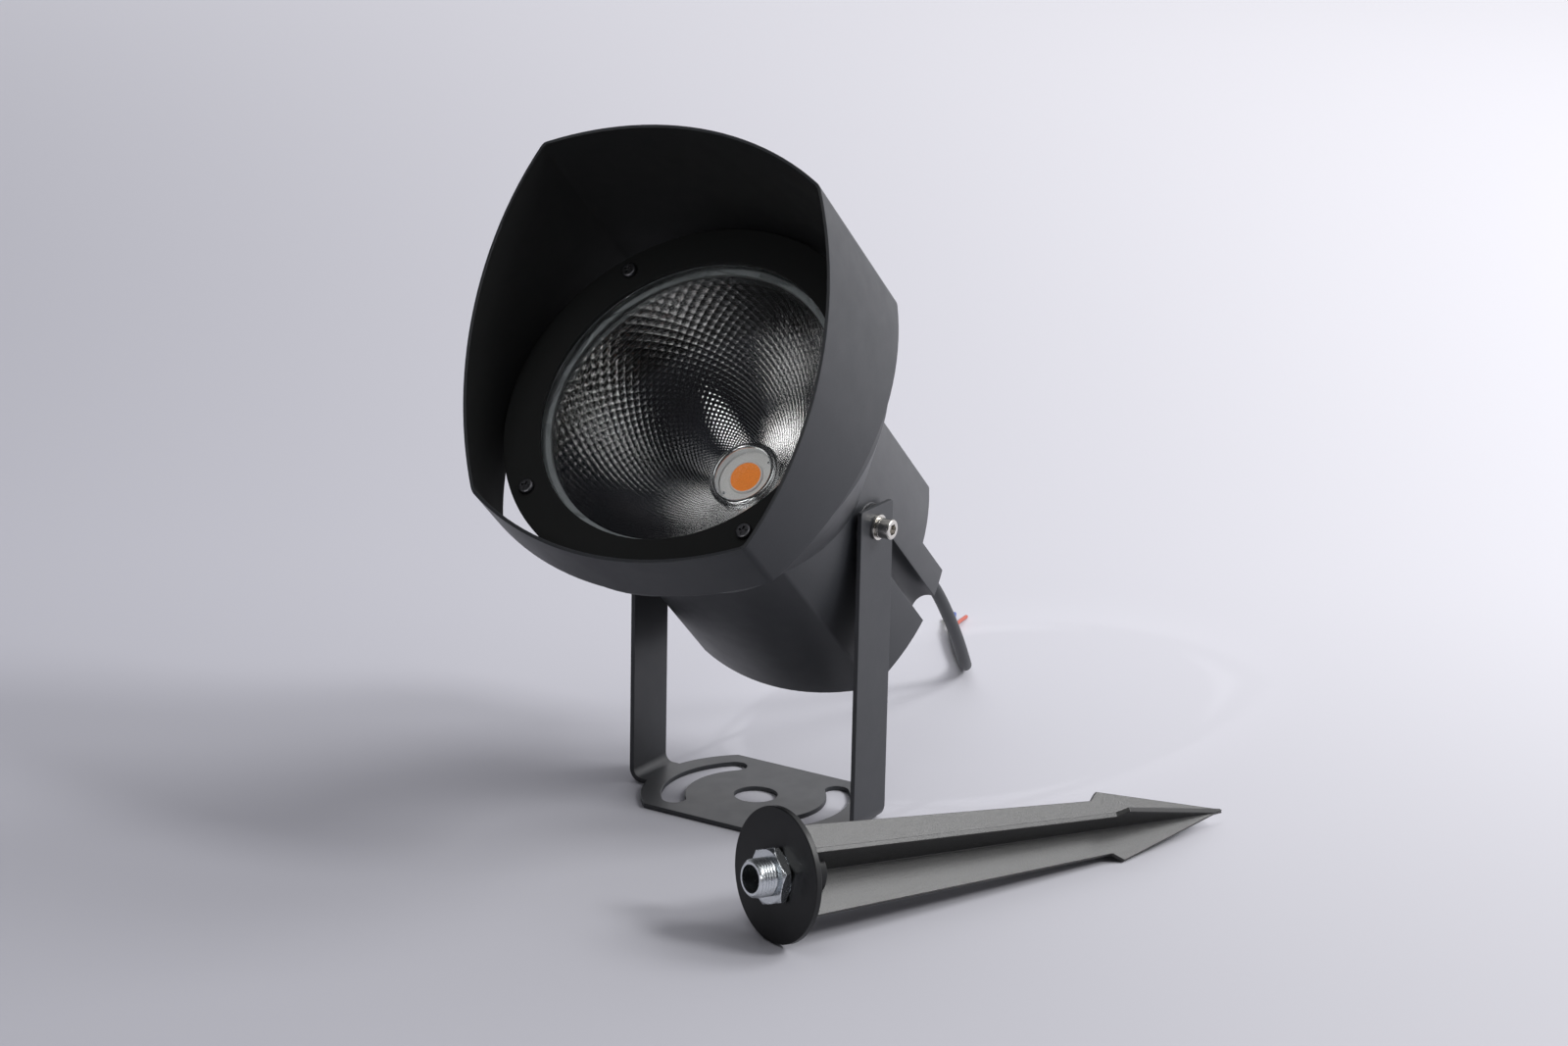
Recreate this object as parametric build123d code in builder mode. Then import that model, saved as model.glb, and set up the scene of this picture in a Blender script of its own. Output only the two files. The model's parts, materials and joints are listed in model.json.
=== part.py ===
from build123d import *
from math import atan, cos, radians, sin, sqrt, tan
import os

os.makedirs("parts", exist_ok=True)

# Outdoor spotlight: a tilting lamp head in a strap bracket, with a ground spike lying beside it.
# Origin at the centre of the base hole on the mounting surface, +X along the tilt axis, +Z up.
# All sizes are in millimetres and all angles in degrees.

# Clearances
thread_play = 0.05  # a shank in its hole, on the radius
turn_play = 0.1  # flat faces that turn against each other
slip_play = 0.3  # a piece that drops into a pocket, on each side

# Bracket
strap_width = 30.0
strap_thick = 2.5
bend_radius = 7.0
hinge_height = 156.6
leg_end = 10.6
leg_corner = 1.5
plate_radius = 58.5
plate_depth = 87.6
base_hole_d = 22.2
slot_radius = 42.0
slot_width = 12.0
slot_sweep = 86.0

# Lamp head: where it points and how its light axis lies over the tilt axis
tilt = 43.7
axis_rise = 2.2

# Housing body: a bulged square section with a channel along each side
body_half = 51.0
body_mid = 62.5
body_corner = 3.0
body_rear = -86.0
channel_radius = 7.0
channel_depth = 9.5
channel_front = -16.0
compartment_inset = 5.5
compartment_corner = 4.0
skirt_wall = 3.5
skirt_top = 20.0
cover_rear = -57.5
wall_rear = 10.5
wall_front = 19.5
lead_hole_r = 4.0
lead_height = 24.0
column_radius = 6.0
column_bite = 1.0  # into the compartment's walls

# Housing cone and front flange
cone_rear = 18.0
cone_wall = 3.5
flange_radius = 96.4
flange_width = 21.0
flange_land = 14.4  # from the flange's rim in to the gasket

# Front stack, counted back from the bezel's front face
front_plane = 98.0
bezel_thick = 2.5
bezel_screw_edge = 8.3  # in from the flange's rim
bezel_overhang = 0.5  # over the gasket's lip
gasket_lip = 0.8
gasket_wall = 2.5
gasket_floor = 1.6
gasket_sight = 3.7  # the grey ring that shows inside the bezel
glass_thick = 3.0
glass_grip = 1.9
rim_thick = 1.2
rim_width = 4.2

# Glare hood
hood_bow = 20.5
hood_corner = 8.0
hood_wall = 1.8
hood_overlap = 14.7  # back from the bezel's front face
hood_top_reach = 86.5  # forward of it
hood_bottom_reach = 18.0
tab_width = 22.0
tab_thick = 2.0
tab_reach = 10.9  # in from the flange's rim

# Reflector bowl
bowl_neck_r = 17.9
bowl_waist_r = 50.0
bowl_waist = 52.0
bowl_wall = 1.2

# Light engine
pad_thick = 0.5
cob_side = 36.0
cob_thick = 1.6
emitter_r = 8.0
emitter_thick = 1.2
collar_wall = 3.1
collar_height = 2.9
holder_radius = 29.0
holder_thick = 2.5
holder_screw_edge = 4.0

# Driver
driver_height = 38.0
driver_depth = 40.0
driver_corner = 2.0
driver_gap = 1.5  # to the heads of the tray's screws
tray_gap = 2.5  # to the compartment's side walls
tray_thick = 1.5
tray_screw_edge = 6.0

# Rear cover
cover_thick = 3.0
cover_seal = 1.5

# Cable gland, off the middle of the rear cover
gland_in = 18.0  # from the upper right column, towards the middle
gland_down = 7.0
gland_thread_r = 8.0
gland_inner = 5.5
gland_across = 20.0
gland_hex = 5.0
gland_neck_r = 7.5
gland_neck = 8.0
gland_seal_r = 5.9
gland_seal_length = 8.0
gland_cap_length = 17.0
gland_cap_nose_r = 5.2
gland_nut_thick = 4.0
gland_nut_wall = 1.5

# Cord and leads
cord_d = 6.8
cord_inner_end = 3.0
cord_straight = 26.0  # out of the gland before it droops
arc_share = 0.45  # of the shorter run, taken up by a bend
lead_d = 1.8
lead_gap = 0.2
lead_bend = 4.0
core_d = 2.2
core_straight = 0.12  # of a core's reach, before it spreads

# Pivots
pivot_d = 6.0
pivot_grip = 9.0
pad_radius = 11.0
pad_proud = 0.5
friction_thick = 1.8
flat_washer_r = 6.4
flat_washer_thick = 1.5
spring_washer_r = 5.2
spring_washer_thick = 1.4
spring_washer_split = 1.2
cap_head_d = 10.0
cap_head_height = 6.0
cap_head_chamfer = 0.5
cap_socket_across = 5.0
cap_socket_depth = 3.0

# Screws: shank diameter, shank length, head diameter, head height
bezel_screw = (4.0, 12.0, 8.0, 2.4)
cover_screw = (4.0, 14.0, 8.0, 2.4)
tray_screw = (4.0, 7.0, 7.0, 2.4)
holder_screw = (3.0, 8.0, 5.5, 1.8)
pan_share = 0.45  # rounding over the head's height
recess_share = 0.55  # cross recess over the head's diameter
recess_slot_share = 0.16
recess_depth_share = 0.6  # of the head's height

# Ground spike, lying on the floor on its flange and two fins
spike_x = 107.5
spike_y = -151.4
spike_heading = 22.0
spike_flange_r = 32.4
spike_flange_thick = 3.4
spike_hub_r = 12.0
spike_hub_length = 18.0
fin_thick = 2.6
fin_root = 23.6
fin_end = 14.6
barb_hook = 4.4
barb_place = 203.0
barb_step = 5.4
barb_round = 2.0
spike_length = 277.0
nipple_d = 18.6
nipple_wall = 2.5
nipple_free = 9.0
thread_depth = 0.9
nut_across = 25.6
nut_thick = 5.0
nut_turn = 23.8
nut_chamfer = 1.2

# Frames of the lamp head
hinge = Vector(0, 0, hinge_height)
beam = Vector(0, -cos(radians(tilt)), sin(radians(tilt)))
lift = Vector(0, sin(radians(tilt)), cos(radians(tilt)))
lamp = Plane(origin=hinge + lift * axis_rise, x_dir=(1, 0, 0), z_dir=beam)
lamp_profile = Plane(origin=lamp.origin, x_dir=(1, 0, 0), z_dir=lift * -1)
lamp_side = Plane(origin=lamp.origin, x_dir=beam, z_dir=(-1, 0, 0))
light_axis = Axis(lamp.origin, beam)
cut = Mode.SUBTRACT


def arc_corner(half, mid, inset):
    """Where the arcs of a bulged square meet once drawn in by an inset, across and up alike."""
    bow = mid - half
    arc_r = (half**2 + bow**2) / (2 * bow)
    centre = arc_r - mid
    return (sqrt(2 * (arc_r - inset) ** 2 - centre**2) - centre) / 2


# Sizes across the light axis, from the flange inwards and outwards
gasket_radius = flange_radius - flange_land
glass_slot_r = gasket_radius - gasket_wall
glass_radius = glass_slot_r - turn_play
gasket_lip_r = glass_radius - glass_grip
bezel_opening_r = gasket_lip_r - bezel_overhang
bowl_open_r = gasket_lip_r - gasket_sight
rim_radius = bowl_open_r + rim_width
bezel_screw_spot = (flange_radius - bezel_screw_edge) / sqrt(2)
hood_mid = flange_radius + slip_play + hood_wall
hood_half = hood_mid - hood_bow
tab_inner_r = flange_radius - tab_reach
column_spot = arc_corner(body_half, body_mid, compartment_inset + column_radius - column_bite)
gland_x = column_spot - gland_in
gland_u = column_spot - gland_down
gland_nut_across = 2 * (gland_thread_r + gland_nut_wall)
tray_length = 2 * (body_mid - channel_depth - compartment_inset - tray_gap)
tray_screw_spot = tray_length / 2 - tray_screw_edge
driver_width = 2 * (tray_screw_spot - tray_screw[2] / 2 - driver_gap)
collar_r = bowl_neck_r - slip_play
collar_inner_r = collar_r - collar_wall
holder_screw_spot = holder_radius - holder_screw_edge

# Places along the light axis
flange_rear = front_plane - flange_width
hood_rear = front_plane - hood_overlap
hood_top_front = front_plane + hood_top_reach
hood_bottom_front = front_plane + hood_bottom_reach
bezel_back = front_plane - bezel_thick
glass_front = bezel_back - gasket_lip
glass_back = glass_front - glass_thick
gasket_back = glass_back - gasket_floor
rim_back = gasket_back - rim_thick
cob_rear = wall_front + pad_thick
cob_front = cob_rear + cob_thick
holder_front = cob_front + holder_thick
tray_rear = wall_rear - tray_thick
driver_rear = tray_rear - driver_depth
cover_front = cover_rear + cover_thick
ledge = cover_front + cover_seal
channel_centre = body_mid + channel_radius - channel_depth

# Places along the tilt axis
pad_face = body_mid + pad_proud
leg_inner = pad_face + friction_thick + turn_play
leg_outer = leg_inner + strap_thick
leg_top = hinge_height + leg_end
washer_seat = leg_outer + turn_play
spring_seat = washer_seat + flat_washer_thick
head_seat = spring_seat + spring_washer_thick
pivot_hole_r = pivot_d / 2 + thread_play


def lamp_planes(spots, place, facing=1):
    """Planes square to the light axis, one at each (across, up) spot."""
    return [
        Plane(origin=lamp.from_local_coords((x, u, place)), x_dir=(1, 0, 0), z_dir=beam * facing)
        for x, u in spots
    ]


def pivot_planes(place):
    """Planes square to the tilt axis on both sides, facing outwards."""
    return [
        Plane(origin=hinge + Vector(side * place, 0, 0), x_dir=(0, 1, 0), z_dir=(side, 0, 0))
        for side in (1, -1)
    ]


def corners(spot):
    return [(spot, spot), (-spot, spot), (-spot, -spot), (spot, -spot)]


def sides(spot):
    return [(spot, 0), (-spot, 0)]


def discs(planes, radius, length, mode=Mode.ADD):
    with BuildSketch(*planes) as outline:
        Circle(radius)
    extrude(outline.sketch, amount=length, mode=mode)


def rings(planes, outer, inner, length):
    with BuildSketch(*planes) as outline:
        Circle(outer)
        Circle(inner, mode=cut)
    extrude(outline.sketch, amount=length)


def hexes(planes, across, length, mode=Mode.ADD):
    with BuildSketch(*planes) as outline:
        RegularPolygon(across / 2, 6, major_radius=False)
    extrude(outline.sketch, amount=length, mode=mode)


def turned(*points, mode=Mode.ADD):
    """A solid of revolution about the light axis, from (radius, place) points."""
    with BuildSketch(lamp_profile) as outline:
        with BuildLine():
            Polyline(*points, close=True)
        make_face()
    revolve(outline.sketch, axis=light_axis, mode=mode)


def cross_screws(piece, planes, screw):
    """Pan head screws with a cross recess, heads standing on the given planes."""
    shank_d, shank_length, head_d, head_height = screw
    discs(planes, head_d / 2, head_height)
    fillet(round_edges(piece, planes, head_height), head_height * pan_share)
    discs(planes, shank_d / 2, -shank_length)
    with BuildSketch(*[plane.offset(head_height) for plane in planes]) as recess:
        Rectangle(head_d * recess_share, head_d * recess_slot_share)
        Rectangle(head_d * recess_slot_share, head_d * recess_share)
    extrude(recess.sketch, amount=-head_height * recess_depth_share, mode=cut)


def round_edges(piece, planes, height):
    """The piece's circular edges that lie at a height over any of the planes."""

    def at_height(edge):
        return any(abs(plane.to_local_coords(edge.arc_center).Z - height) < 0.01 for plane in planes)

    return piece.edges().filter_by(GeomType.CIRCLE).filter_by(at_height)


def bulged_square(plane, half, mid, corner, inset=0.0):
    """A square whose four sides are arcs, drawn in by an inset."""
    points = corners(arc_corner(half, mid, inset))
    middle = mid - inset
    middles = [(0, middle), (-middle, 0), (0, -middle), (middle, 0)]
    with BuildSketch(plane) as outline:
        with BuildLine():
            for turn in range(4):
                ThreePointArc(points[turn], middles[turn], points[(turn + 1) % 4])
        make_face()
        fillet(outline.vertices(), corner)
    return outline.sketch


def body_section(place, corner, inset):
    """The body's outline drawn in by an inset, which follows the round channel down each side."""
    channel_r = channel_radius + inset
    with BuildSketch(lamp.offset(place)) as section:
        add(bulged_square(Plane.XY, body_half, body_mid, corner, inset))
        for side in (1, -1):
            with Locations((side * channel_centre, -axis_rise)):
                Circle(channel_r, mode=cut)
            with Locations((side * (channel_centre + body_mid / 2), -axis_rise)):
                Rectangle(body_mid, 2 * channel_r, mode=cut)
    return section.sketch


def tube(points, radii, diameter):
    """A round tube along straight runs joined by tangent arcs."""
    with BuildLine() as path:
        FilletPolyline(*points, radius=radii)
    with BuildSketch(Plane(origin=path.line @ 0, z_dir=path.line % 0)) as section:
        Circle(diameter / 2)
    sweep(section.sketch, path=path.line)


def finish(piece, name):
    piece.part.label = name
    export_step(piece.part, f"parts/{name}.step")


# Bracket: one bent strap with a round base plate
with BuildPart() as bracket:
    with BuildSketch(Plane.XZ) as strap:
        with BuildLine():
            Polyline(
                (-leg_outer, leg_top),
                (-leg_outer, 0),
                (leg_outer, 0),
                (leg_outer, leg_top),
                (leg_inner, leg_top),
                (leg_inner, strap_thick),
                (-leg_inner, strap_thick),
                (-leg_inner, leg_top),
                close=True,
            )
        make_face()
        fillet(strap.vertices().group_by(Axis.Y)[0], bend_radius)
        fillet(strap.vertices().group_by(Axis.Y)[1], bend_radius - strap_thick)
    extrude(amount=strap_width / 2, both=True)
    fillet(bracket.edges().filter_by(Axis.X).group_by(Axis.Z)[-1], leg_corner)
    with BuildSketch():
        Circle(plate_radius)
        Rectangle(2 * plate_radius, plate_depth, mode=Mode.INTERSECT)
    extrude(amount=strap_thick)
    with BuildSketch():
        Circle(base_hole_d / 2)
        for turn in (0, 180):
            slot = CenterArc((0, 0), slot_radius, turn - slot_sweep / 2, slot_sweep, mode=Mode.PRIVATE)
            SlotArc(slot, slot_width)
    extrude(amount=strap_thick, mode=cut)
    discs(pivot_planes(leg_inner), pivot_hole_r, strap_thick, mode=cut)
finish(bracket, "bracket")

# Housing: body, cone and flange in one casting, open at both ends
cone_slope = (flange_radius - body_mid) / (flange_rear - cone_rear)
body_front = cone_rear + (body_half * sqrt(2) - body_mid) / cone_slope
bowl_space_r = rim_radius - 2 * rim_thick
seat_rear = bezel_back - bezel_screw[1] - cone_wall / 2
bezel_hole_r = bezel_screw[0] / 2 + thread_play
cover_hole_r = cover_screw[0] / 2 + thread_play
tray_hole_r = tray_screw[0] / 2 + thread_play
holder_hole_r = holder_screw[0] / 2 + thread_play

with BuildPart() as housing:
    outline = body_section(body_rear, body_corner, 0.0)
    extrude(outline, amount=channel_front - body_rear)
    outline = bulged_square(lamp.offset(channel_front), body_half, body_mid, body_corner)
    extrude(outline, amount=body_front - channel_front)
    turned(
        (0, cone_rear),
        (body_mid, cone_rear),
        (flange_radius, flange_rear),
        (flange_radius, bezel_back),
        (0, bezel_back),
    )
    discs(pivot_planes(pad_face), pad_radius, -channel_depth)
    # Front cavity: seats for gasket and reflector rim, then the bowl's space
    turned(
        (0, wall_front),
        (body_mid - cone_wall, wall_front),
        (flange_radius - cone_wall, flange_rear),
        (bowl_space_r, seat_rear),
        (bowl_space_r, rim_back),
        (rim_radius + slip_play, rim_back),
        (rim_radius + slip_play, gasket_back),
        (gasket_radius + slip_play, gasket_back),
        (gasket_radius + slip_play, bezel_back),
        (0, bezel_back),
        mode=cut,
    )
    # Rear compartment, then the hollow skirt behind the cover
    outline = body_section(ledge, compartment_corner, compartment_inset)
    extrude(outline, amount=wall_rear - ledge, mode=cut)
    outline = body_section(body_rear, body_corner, skirt_wall)
    extrude(outline, amount=ledge - body_rear, mode=cut)
    discs(lamp_planes(corners(column_spot), ledge), column_radius, wall_rear - ledge)
    # The skirt stops short over the top
    with BuildSketch(lamp.offset(body_rear)):
        with Locations((0, skirt_top + body_mid / 2)):
            Rectangle(3 * body_mid, body_mid)
    extrude(amount=cover_rear - body_rear, mode=cut)
    # Recesses for the hood's tabs
    with BuildSketch(lamp.offset(bezel_back)):
        with PolarLocations((tab_inner_r + flange_radius) / 2, 4):
            Rectangle(flange_radius - tab_inner_r + 2 * slip_play, tab_width + 2 * slip_play)
    extrude(amount=-tab_thick, mode=cut)
    # Screw holes and the lead hole
    discs(lamp_planes(corners(bezel_screw_spot), bezel_back), bezel_hole_r, -bezel_screw[1], cut)
    discs(lamp_planes(corners(column_spot), ledge), cover_hole_r, cover_screw[1], cut)
    discs(lamp_planes(sides(tray_screw_spot), wall_rear), tray_hole_r, tray_screw[1], cut)
    discs(lamp_planes(sides(holder_screw_spot), wall_front), holder_hole_r, -holder_screw[1], cut)
    discs(lamp_planes([(0, lead_height)], wall_rear), lead_hole_r, wall_front - wall_rear, cut)
    discs(pivot_planes(pad_face), pivot_hole_r, -pivot_grip, cut)
finish(housing, "housing")

# Glare hood: bent sheet with a slanted front and four clamped tabs
with BuildPart() as hood:
    outline = bulged_square(lamp.offset(hood_rear), hood_half, hood_mid, hood_corner)
    extrude(outline, amount=hood_top_front - hood_rear)
    outline = bulged_square(lamp.offset(hood_rear), hood_half, hood_mid, hood_corner - hood_wall, hood_wall)
    extrude(outline, amount=hood_top_front - hood_rear, mode=cut)
    with BuildSketch(lamp_side):
        with BuildLine():
            Polyline(
                (hood_bottom_front, -2 * hood_mid),
                (hood_bottom_front, -hood_half),
                (hood_top_front, hood_half),
                (hood_top_front + hood_mid, hood_half),
                (hood_top_front + hood_mid, -2 * hood_mid),
                close=True,
            )
        make_face()
    extrude(amount=2 * hood_mid, both=True, mode=cut)
    with BuildSketch(lamp.offset(bezel_back)):
        with PolarLocations((tab_inner_r + hood_mid) / 2 - hood_wall / 4, 4):
            Rectangle(hood_mid - tab_inner_r - hood_wall / 2, tab_width)
    extrude(amount=-tab_thick)
finish(hood, "hood")

# Front bezel, its screws, the glass and its gasket
with BuildPart() as front_bezel:
    rings([lamp.offset(bezel_back)], flange_radius, bezel_opening_r, bezel_thick)
    discs(lamp_planes(corners(bezel_screw_spot), bezel_back), bezel_hole_r, bezel_thick, mode=cut)
finish(front_bezel, "front_bezel")

with BuildPart() as bezel_screws:
    cross_screws(bezel_screws, lamp_planes(corners(bezel_screw_spot), front_plane), bezel_screw)
finish(bezel_screws, "bezel_screws")

with BuildPart() as front_glass:
    discs([lamp.offset(glass_back)], glass_radius, glass_thick)
finish(front_glass, "front_glass")

with BuildPart() as glass_gasket:
    turned(
        (bowl_open_r, gasket_back),
        (gasket_radius, gasket_back),
        (gasket_radius, bezel_back),
        (gasket_lip_r, bezel_back),
        (gasket_lip_r, glass_front),
        (glass_slot_r, glass_front),
        (glass_slot_r, glass_back),
        (bowl_open_r, glass_back),
    )
finish(glass_gasket, "glass_gasket")

# Reflector: a spun bowl that hangs from its rim
with BuildPart() as reflector:
    bowl_neck = holder_front + bowl_wall
    shift = bowl_wall / sqrt(2)
    with BuildSketch(lamp_profile):
        with BuildLine():
            inside = ThreePointArc(
                (bowl_neck_r, bowl_neck),
                (bowl_waist_r, bowl_waist),
                (bowl_open_r, gasket_back),
            )
            outside = ThreePointArc(
                (bowl_neck_r + shift, bowl_neck - shift),
                (bowl_waist_r + shift, bowl_waist - shift),
                (bowl_open_r + shift, rim_back),
            )
            Line(inside @ 0, outside @ 0)
            Polyline(outside @ 1, (rim_radius, rim_back), (rim_radius, gasket_back), inside @ 1)
        make_face()
    revolve(axis=light_axis)
finish(reflector, "reflector")

# Light engine: pad, plate, emitter and the holder whose collar shows in the bowl
with BuildPart() as thermal_pad:
    with BuildSketch(lamp.offset(wall_front)):
        Rectangle(cob_side, cob_side)
    extrude(amount=pad_thick)
finish(thermal_pad, "thermal_pad")

with BuildPart() as cob_plate:
    with BuildSketch(lamp.offset(cob_rear)):
        Rectangle(cob_side, cob_side)
    extrude(amount=cob_thick)
finish(cob_plate, "cob_plate")

with BuildPart() as led_emitter:
    discs([lamp.offset(cob_front)], emitter_r, emitter_thick)
finish(led_emitter, "led_emitter")

with BuildPart() as cob_holder:
    rings([lamp.offset(cob_front)], holder_radius, collar_inner_r, holder_thick)
    rings([lamp.offset(holder_front)], collar_r, collar_inner_r, collar_height)
    discs(lamp_planes(sides(holder_screw_spot), cob_front), holder_hole_r, holder_thick, mode=cut)
finish(cob_holder, "cob_holder")

with BuildPart() as cob_holder_screws:
    cross_screws(cob_holder_screws, lamp_planes(sides(holder_screw_spot), holder_front), holder_screw)
finish(cob_holder_screws, "cob_holder_screws")

# Driver on its tray, behind the cross wall
with BuildPart() as driver_tray:
    with BuildSketch(lamp.offset(tray_rear)):
        Rectangle(tray_length, driver_height)
    extrude(amount=tray_thick)
    discs(lamp_planes(sides(tray_screw_spot), tray_rear), tray_hole_r, tray_thick, mode=cut)
finish(driver_tray, "driver_tray")

with BuildPart() as led_driver:
    with BuildSketch(lamp.offset(driver_rear)):
        RectangleRounded(driver_width, driver_height, driver_corner)
    extrude(amount=driver_depth)
finish(led_driver, "led_driver")

with BuildPart() as driver_screws:
    cross_screws(driver_screws, lamp_planes(sides(tray_screw_spot), tray_rear, -1), tray_screw)
finish(driver_screws, "driver_screws")

# Rear cover with its gasket and screws
with BuildPart() as rear_cover:
    cover_inset = skirt_wall + slip_play
    outline = body_section(cover_rear, body_corner, cover_inset)
    extrude(outline, amount=cover_thick)
    discs(lamp_planes(corners(column_spot), cover_rear), cover_hole_r, cover_thick, mode=cut)
    gland_hole_r = gland_thread_r + thread_play
    discs(lamp_planes([(gland_x, gland_u)], cover_rear), gland_hole_r, cover_thick, mode=cut)
finish(rear_cover, "rear_cover")

with BuildPart() as rear_gasket:
    outline = body_section(cover_front, body_corner, cover_inset)
    extrude(outline, amount=cover_seal)
    outline = body_section(cover_front, compartment_corner, compartment_inset)
    extrude(outline, amount=cover_seal, mode=cut)
    discs(lamp_planes(corners(column_spot), cover_front), column_radius, cover_seal)
    discs(lamp_planes(corners(column_spot), cover_front), cover_hole_r, cover_seal, mode=cut)
finish(rear_gasket, "rear_gasket")

with BuildPart() as rear_screws:
    cross_screws(rear_screws, lamp_planes(corners(column_spot), cover_rear, -1), cover_screw)
finish(rear_screws, "rear_screws")

# Cable gland: body through the cover, lock nut inside, seal and cap outside
gland_spot = [(gland_x, gland_u)]
gland_hex_rear = cover_rear - gland_hex
gland_neck_rear = gland_hex_rear - gland_neck
gland_cap_rear = gland_hex_rear - gland_cap_length
gland_front = cover_front + gland_inner
seal_front = gland_neck_rear + gland_seal_length / 2
seal_rear = seal_front - gland_seal_length
cord_hole_r = cord_d / 2 + turn_play

with BuildPart() as cable_gland:
    discs(lamp_planes(gland_spot, gland_front, -1), gland_thread_r, gland_front - cover_rear)
    hexes(lamp_planes(gland_spot, cover_rear, -1), gland_across, gland_hex)
    discs(lamp_planes(gland_spot, gland_hex_rear, -1), gland_neck_r, gland_neck)
    discs(lamp_planes(gland_spot, gland_front, -1), cord_hole_r, gland_front - gland_neck_rear, mode=cut)
    seal_pocket_r = gland_seal_r + turn_play
    discs(lamp_planes(gland_spot, seal_front, -1), seal_pocket_r, gland_seal_length / 2, mode=cut)
finish(cable_gland, "cable_gland")

with BuildPart() as gland_lock_nut:
    hexes(lamp_planes(gland_spot, cover_front), gland_nut_across, gland_nut_thick)
    discs(lamp_planes(gland_spot, cover_front), gland_hole_r, gland_nut_thick, mode=cut)
finish(gland_lock_nut, "gland_lock_nut")

with BuildPart() as gland_seal:
    rings(lamp_planes(gland_spot, seal_front, -1), gland_seal_r, cord_hole_r, gland_seal_length)
finish(gland_seal, "gland_seal")

with BuildPart() as gland_cap:
    cap_skirt = gland_neck_rear - slip_play
    hexes(lamp_planes(gland_spot, gland_hex_rear, -1), gland_across, gland_hex_rear - cap_skirt)
    with BuildSketch(lamp_planes(gland_spot, cap_skirt, -1)[0]):
        Circle(gland_across / 2)
    with BuildSketch(lamp_planes(gland_spot, gland_cap_rear, -1)[0]):
        Circle(gland_cap_nose_r)
    loft()
    cap_bore_r = gland_neck_r + thread_play
    discs(lamp_planes(gland_spot, gland_hex_rear, -1), cap_bore_r, gland_neck, mode=cut)
    discs(lamp_planes(gland_spot, gland_neck_rear, -1), seal_pocket_r, gland_seal_length / 2, mode=cut)
    discs(lamp_planes(gland_spot, gland_hex_rear, -1), cord_hole_r, gland_cap_length, mode=cut)
finish(gland_cap, "gland_cap")

# The cord: the stretch in the gland, then the free stretch down to the floor
entry_front = gland_front + cord_inner_end
with BuildPart() as cord_entry:
    discs(lamp_planes(gland_spot, entry_front, -1), cord_d / 2, entry_front - gland_cap_rear)
finish(cord_entry, "cord_entry")

cord_exit = lamp.from_local_coords((gland_x, gland_u, gland_cap_rear))
cord_floor = cord_d / 2
cord_points = [
    cord_exit,
    cord_exit - beam * cord_straight,
    Vector(22.5, 138, 80),
    Vector(15.5, 166.5, 54),
    Vector(7.5, 192, 31),
    Vector(-2, 216, 11),
    Vector(-14, 237, cord_floor),
    Vector(-33.5, 261, cord_floor),
    Vector(-52, 288.5, cord_floor),
]


def widest_radii(points):
    """The largest arc that the two runs at each corner leave room for."""
    radii = []
    for before, here, after in zip(points, points[1:], points[2:]):
        run_in = here - before
        run_out = after - here
        half_turn = radians(run_in.get_angle(run_out)) / 2
        radii.append(arc_share * min(run_in.length, run_out.length) / tan(half_turn))
    return radii


cord_radii = widest_radii(cord_points)
print("cord runs", [round((b - a).length, 1) for a, b in zip(cord_points, cord_points[1:])])
print("cord radii", [round(radius, 1) for radius in cord_radii])
with BuildPart() as supply_cord:
    tube(cord_points, cord_radii, cord_d)
finish(supply_cord, "supply_cord")

# Three cores fan out of the cord's end: place across and up in the sheath, then where each one goes
cord_end = cord_points[-1]
cord_out = (cord_end - cord_points[-2]).normalized()
cord_across = Vector(cord_out.Y, -cord_out.X, 0)
core_rise = core_d / 2 - cord_floor
cores = {
    "live_core": (1.4, 0.9, 9.6, 27.2),
    "neutral_core": (0.0, -1.6, 3.2, 32.4),
    "earth_core": (-1.4, 0.9, -3.0, 24.0),
}


def core(across, up, spread, reach):
    """One insulated core from the sheath's cut end down to the floor."""
    start = cord_end + cord_across * across + Vector(0, 0, up)
    bend = start + cord_out * reach * core_straight
    end = cord_end + cord_out * reach + cord_across * spread + Vector(0, 0, core_rise)
    points = [start, bend, end]
    tube(points, widest_radii(points), core_d)


for core_name, core_route in cores.items():
    with BuildPart() as core_piece:
        core(*core_route)
    finish(core_piece, core_name)

# Leads inside the housing
driver_top = driver_height / 2
led_lead_end = tray_rear - driver_depth / 2
feed_end = driver_rear + driver_depth / 4
lead_pitch = lead_d + lead_gap


def lead(place_x, height, start, end):
    """One lead along the light axis that turns down onto the driver's top."""
    route = [(place_x, height, start), (place_x, height, end), (place_x, driver_top, end)]
    tube([lamp.from_local_coords(point) for point in route], lead_bend, lead_d)


with BuildPart() as led_leads:
    for side in (-1, 1):
        lead_x = side * lead_pitch / 2
        lead(lead_x, lead_height, cob_front, led_lead_end)
finish(led_leads, "led_leads")

with BuildPart() as driver_leads:
    for step in (-1, 0, 1):
        lead_x = gland_x + step * lead_pitch
        lead(lead_x, gland_u, entry_front, feed_end)
finish(driver_leads, "driver_leads")

# Pivots: from the housing's pads outwards through the bracket legs
with BuildPart() as friction_washers:
    rings(pivot_planes(pad_face), pad_radius, pivot_hole_r, friction_thick)
finish(friction_washers, "friction_washers")

with BuildPart() as pivot_washers:
    rings(pivot_planes(washer_seat), flat_washer_r, pivot_hole_r, flat_washer_thick)
finish(pivot_washers, "pivot_washers")

with BuildPart() as spring_washers:
    rings(pivot_planes(spring_seat), spring_washer_r, pivot_hole_r, spring_washer_thick)
    with BuildSketch(*pivot_planes(spring_seat)):
        with Locations((spring_washer_r / 2, 0)):
            Rectangle(spring_washer_r, spring_washer_split)
    extrude(amount=spring_washer_thick, mode=cut)
finish(spring_washers, "spring_washers")

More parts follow.
